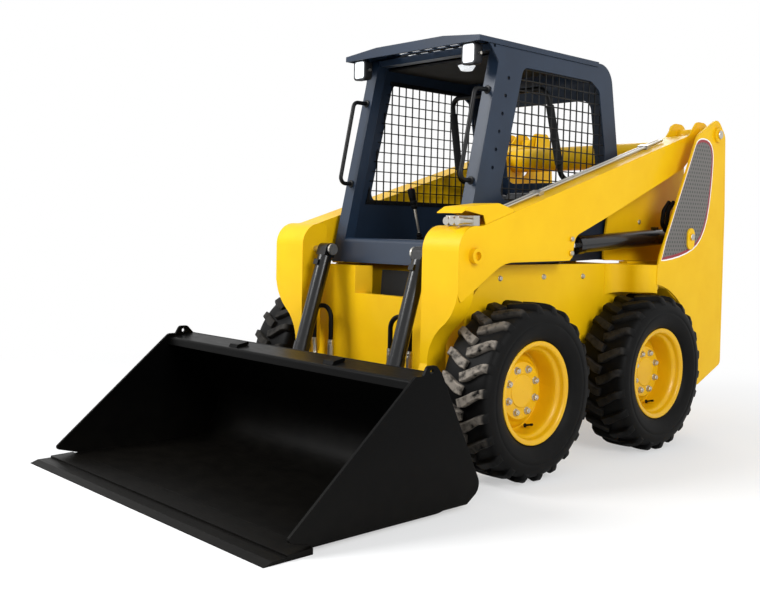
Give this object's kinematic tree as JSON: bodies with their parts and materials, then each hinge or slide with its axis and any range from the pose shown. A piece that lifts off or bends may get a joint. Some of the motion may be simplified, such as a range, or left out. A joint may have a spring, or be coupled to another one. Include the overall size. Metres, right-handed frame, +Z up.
{
  "type": "skid steer loader",
  "caption": "Skid steer loader with radial lift arms, bucket on a quick-attach carriage, wire-screened cab and lugged tyres on deep-dished rims.",
  "frame": {"origin": "on the ground under the middle of the machine's length and width, with the bucket flat on the ground", "axes": "+X to the machine's left, +Y to its rear, +Z up; the bucket faces -Y"},
  "size_m": [1.732, 3.28, 1.936],
  "materials": {
    "black_paint": "gloss black paint",
    "body_paint": "yellow paint",
    "cab_paint": "dark blue-grey paint",
    "cast": "dark cast iron",
    "lens": "clear lamp lens",
    "red_lens": "red lamp lens",
    "rubber": "black rubber",
    "steel": "zinc-plated steel",
    "tyre": "black rubber with dusty lugs",
    "vinyl": "black vinyl"
  },
  "bodies": {
    "boom": {"left_arm": "body_paint", "right_arm": "body_paint", "boom_cross_tube": "body_paint", "boom_front_tube": "body_paint", "tilt_pins": "steel", "coupler_block": "steel", "coupler_cover": "body_paint", "coupler_lines": "steel", "tilt_hoses": "rubber", "hose_fittings": "steel"},
    "bucket": {"carriage": "black_paint", "bucket_shell": "black_paint", "cutting_edge": "black_paint"},
    "engine_hood": {"engine_hood": "body_paint"},
    "rear_door": {"rear_door": "body_paint"},
    "restraint": {"restraint_bar": "black_paint"},
    "left_lift_barrel": {"left_lift_barrel": "black_paint"},
    "left_lift_rod": {"left_lift_rod": "steel"},
    "left_tilt_barrel": {"left_tilt_barrel": "black_paint"},
    "left_tilt_rod": {"left_tilt_rod": "steel"},
    "right_lift_barrel": {"right_lift_barrel": "black_paint"},
    "right_lift_rod": {"right_lift_rod": "steel"},
    "right_tilt_barrel": {"right_tilt_barrel": "black_paint"},
    "right_tilt_rod": {"right_tilt_rod": "steel"},
    "wheel_front_left": {"tyre_front_left": "tyre", "rim_front_left": "body_paint"},
    "wheel_front_right": {"tyre_front_right": "tyre", "rim_front_right": "body_paint"},
    "wheel_rear_left": {"tyre_rear_left": "tyre", "rim_rear_left": "body_paint"},
    "wheel_rear_right": {"tyre_rear_right": "tyre", "rim_rear_right": "body_paint"},
    "chassis": {"axle_housings": "body_paint", "cab_floor": "black_paint", "cab_frame": "cab_paint", "cab_rear_panel": "cab_paint", "cab_roof": "cab_paint", "cab_screens": "black_paint", "control_levers": "rubber", "dome_lamp": "lens", "engine_block": "cast", "grab_handles": "black_paint", "headliner": "vinyl", "left_tower": "body_paint", "main_frame": "body_paint", "rear_frame": "body_paint", "right_tower": "body_paint", "seat": "vinyl", "step_grating": "black_paint", "tail_lamps": "red_lens", "work_lamps": "black_paint"}
  },
  "joints": [
    {"name": "boom_lift", "type": "hinge", "parent": "chassis", "child": "boom", "pos_m": [0, 1.425, 1.602], "axis": [-1, 0, 0], "range_deg": [0, 71]},
    {"name": "bucket_tilt", "type": "hinge", "parent": "boom", "child": "bucket", "pos_m": [0, -0.59, 0.15], "axis": [1, 0, 0], "range_deg": [-22, 111]},
    {"name": "hood_lift", "type": "hinge", "parent": "chassis", "child": "engine_hood", "pos_m": [0, 0.986, 1.15], "axis": [1, 0, 0], "range_deg": [0, 38]},
    {"name": "rear_door_swing", "type": "hinge", "parent": "chassis", "child": "rear_door", "pos_m": [0.446, 1.627, 0.7], "axis": [0, 0, -1], "range_deg": [0, 100]},
    {"name": "restraint_lower", "type": "hinge", "parent": "chassis", "child": "restraint", "pos_m": [0, 0.7, 1.325], "axis": [1, 0, 0], "range_deg": [0, 75]},
    {"name": "left_lift_barrel_swing", "type": "hinge", "parent": "chassis", "child": "left_lift_barrel", "pos_m": [0.541, 1.182, 1.057], "axis": [-1, 0, 0], "range_deg": [-1, 68.6]},
    {"name": "left_lift_rod_slide", "type": "slide", "parent": "left_lift_barrel", "child": "left_lift_rod", "axis": [0, -0.9981, -0.0624], "range_m": [-0.002, 0.6932]},
    {"name": "left_tilt_barrel_swing", "type": "hinge", "parent": "boom", "child": "left_tilt_barrel", "pos_m": [0.322, -0.413, 0.962], "axis": [1, 0, 0], "range_deg": [-1.48, 0.69]},
    {"name": "left_tilt_rod_slide", "type": "slide", "parent": "left_tilt_barrel", "child": "left_tilt_rod", "axis": [0, -0.295, -0.9555], "range_m": [-0.0472, 0.2302]},
    {"name": "right_lift_barrel_swing", "type": "hinge", "parent": "chassis", "child": "right_lift_barrel", "pos_m": [-0.541, 1.182, 1.057], "axis": [-1, 0, 0], "range_deg": [-1, 68.6]},
    {"name": "right_lift_rod_slide", "type": "slide", "parent": "right_lift_barrel", "child": "right_lift_rod", "axis": [0, -0.9981, -0.0624], "range_m": [-0.002, 0.6932]},
    {"name": "right_tilt_barrel_swing", "type": "hinge", "parent": "boom", "child": "right_tilt_barrel", "pos_m": [-0.322, -0.413, 0.962], "axis": [1, 0, 0], "range_deg": [-1.48, 0.69]},
    {"name": "right_tilt_rod_slide", "type": "slide", "parent": "right_tilt_barrel", "child": "right_tilt_rod", "axis": [0, -0.295, -0.9555], "range_m": [-0.0472, 0.2302]},
    {"name": "wheel_front_left_roll", "type": "hinge", "parent": "chassis", "child": "wheel_front_left", "pos_m": [0.661, -0.15, 0.384], "axis": [1, 0, 0], "continuous": true},
    {"name": "wheel_front_right_roll", "type": "hinge", "parent": "chassis", "child": "wheel_front_right", "pos_m": [-0.661, -0.15, 0.384], "axis": [1, 0, 0], "continuous": true},
    {"name": "wheel_rear_left_roll", "type": "hinge", "parent": "chassis", "child": "wheel_rear_left", "pos_m": [0.661, 0.825, 0.384], "axis": [1, 0, 0], "continuous": true},
    {"name": "wheel_rear_right_roll", "type": "hinge", "parent": "chassis", "child": "wheel_rear_right", "pos_m": [-0.661, 0.825, 0.384], "axis": [1, 0, 0], "continuous": true}
  ],
  "couplings": [
    {"joint": "left_lift_barrel_swing", "follows": "boom_lift", "ratio": 0.9521},
    {"joint": "left_lift_rod_slide", "follows": "boom_lift", "m_per_rad": 0.5562},
    {"joint": "left_tilt_barrel_swing", "follows": "bucket_tilt", "ratio": -0.0088},
    {"joint": "left_tilt_rod_slide", "follows": "bucket_tilt", "m_per_rad": 0.1178},
    {"joint": "right_lift_barrel_swing", "follows": "boom_lift", "ratio": 0.9521},
    {"joint": "right_lift_rod_slide", "follows": "boom_lift", "m_per_rad": 0.5562},
    {"joint": "right_tilt_barrel_swing", "follows": "bucket_tilt", "ratio": -0.0088},
    {"joint": "right_tilt_rod_slide", "follows": "bucket_tilt", "m_per_rad": 0.1178}
  ]
}
